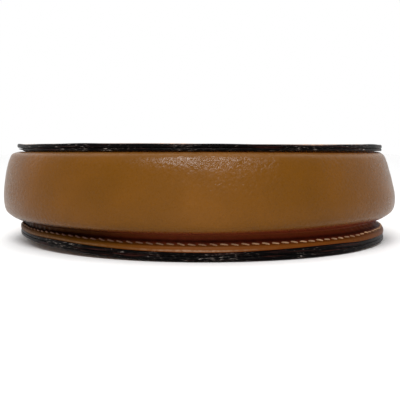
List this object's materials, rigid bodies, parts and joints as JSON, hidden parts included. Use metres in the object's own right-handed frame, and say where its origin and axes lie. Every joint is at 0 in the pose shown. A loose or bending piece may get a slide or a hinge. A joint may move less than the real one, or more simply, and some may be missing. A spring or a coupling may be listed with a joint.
{
  "type": "money belt",
  "caption": "Half-moon leather belt pouch with turned seams and a zipped top, and a waist belt in two halves joined by snap hooks and a prong buckle.",
  "frame": {"origin": "centre of the pouch's round lower edge, on the outer face of the back panel that it rests on", "axes": "+Z from the back panel to the front panel, -Y towards the round lower edge, +Y towards the zipped top"},
  "size_m": [0.1906, 0.254, 0.0465],
  "materials": {
    "leather_tan": "smooth semi-gloss full-grain leather, edges painted black",
    "edge_black": "glossy black edge paint over the leather's edge",
    "lining_cloth": "plain woven cotton lining",
    "thread_tan": "waxed thread",
    "zip_cloth": "woven zip tape",
    "zip_metal": "antique brass",
    "hardware_brass": "antique brass, brushed"
  },
  "bodies": {
    "pouch": {"back_panel": "leather_tan", "back_stiffener": "edge_black", "gusset": "leather_tan", "zip_gusset": "leather_tan", "front_panel": "leather_tan", "lining_back": "lining_cloth", "lining_front": "lining_cloth", "lining_gusset": "lining_cloth", "card_pocket": "lining_cloth", "thread_back_seam": "thread_tan", "thread_front_seam": "thread_tan", "zip_tape_front": "zip_cloth", "zip_tape_back": "zip_cloth", "zip_teeth_front": "zip_metal", "zip_teeth_back": "zip_metal", "zip_stops": "zip_metal", "tab_right": "leather_tan", "tab_left": "leather_tan", "tab_rivet_right": "hardware_brass", "tab_rivet_left": "hardware_brass"},
    "slider": {"zip_slider": "zip_metal"},
    "pull": {"zip_pull": "zip_metal", "zip_tag": "leather_tan", "zip_tag_rivet": "zip_metal"},
    "ring_right": {"ring_right": "hardware_brass"},
    "hook_right": {"hook_right": "hardware_brass"},
    "gate_right": {"gate_right": "hardware_brass"},
    "ring_left": {"ring_left": "hardware_brass"},
    "hook_left": {"hook_left": "hardware_brass"},
    "gate_left": {"gate_left": "hardware_brass"},
    "belt_tongue": {"belt_tongue_side": "leather_tan", "belt_rivets_right": "hardware_brass"},
    "belt_buckle": {"belt_buckle_side": "leather_tan", "belt_rivets_left": "hardware_brass", "buckle_rivet": "hardware_brass", "keeper_fixed": "leather_tan"},
    "buckle": {"buckle_frame": "hardware_brass"},
    "prong": {"buckle_prong": "hardware_brass"},
    "keeper": {"keeper_sliding": "leather_tan"}
  },
  "joints": [
    {"name": "slider_slide", "type": "slide", "parent": "pouch", "child": "slider", "axis": [-1, 0, 0], "range_m": [0, 0.1126]},
    {"name": "pull_hinge", "type": "hinge", "parent": "slider", "child": "pull", "pos_m": [0.057, 0.0453, 0.02275], "axis": [0, 0, -1], "range_deg": [0, 120]},
    {"name": "ring_hinge_right", "type": "hinge", "parent": "pouch", "child": "ring_right", "pos_m": [0.08915, 0.05, 0.0216], "axis": [0, 0, -1], "range_deg": [-2, 60]},
    {"name": "hook_hinge_right", "type": "hinge", "parent": "ring_right", "child": "hook_right", "pos_m": [0.08915, 0.064, 0.0142], "axis": [0, 0, -1], "range_deg": [-2, 45]},
    {"name": "gate_hinge_right", "type": "hinge", "parent": "hook_right", "child": "gate_right", "pos_m": [0.09395, 0.075, 0.0142], "axis": [0, 0, -1], "range_deg": [0, 22], "stiffness_Nm_per_rad": 0.01},
    {"name": "belt_hinge_right", "type": "hinge", "parent": "hook_right", "child": "belt_tongue", "pos_m": [0.08915, 0.0896, 0.0142], "axis": [0, 0, -1], "range_deg": [-2, 45]},
    {"name": "ring_hinge_left", "type": "hinge", "parent": "pouch", "child": "ring_left", "pos_m": [-0.08915, 0.05, 0.0216], "axis": [0, 0, 1], "range_deg": [-2, 60]},
    {"name": "hook_hinge_left", "type": "hinge", "parent": "ring_left", "child": "hook_left", "pos_m": [-0.08915, 0.064, 0.0142], "axis": [0, 0, 1], "range_deg": [-2, 45]},
    {"name": "gate_hinge_left", "type": "hinge", "parent": "hook_left", "child": "gate_left", "pos_m": [-0.09395, 0.075, 0.0142], "axis": [0, 0, 1], "range_deg": [0, 22], "stiffness_Nm_per_rad": 0.01},
    {"name": "belt_hinge_left", "type": "hinge", "parent": "hook_left", "child": "belt_buckle", "pos_m": [-0.08915, 0.0896, 0.0142], "axis": [0, 0, 1], "range_deg": [-2, 45]},
    {"name": "buckle_hinge", "type": "hinge", "parent": "belt_buckle", "child": "buckle", "pos_m": [-0.064, 0.152, 0.0142], "axis": [0, 0, 1], "range_deg": [-25, 30]},
    {"name": "prong_hinge", "type": "hinge", "parent": "buckle", "child": "prong", "pos_m": [-0.064, 0.152, 0.0142], "axis": [0, 0, -1], "range_deg": [0, 80]},
    {"name": "keeper_slide", "type": "slide", "parent": "belt_buckle", "child": "keeper", "axis": [1, 0, 0], "range_m": [-0.003, 0.0095]}
  ]
}
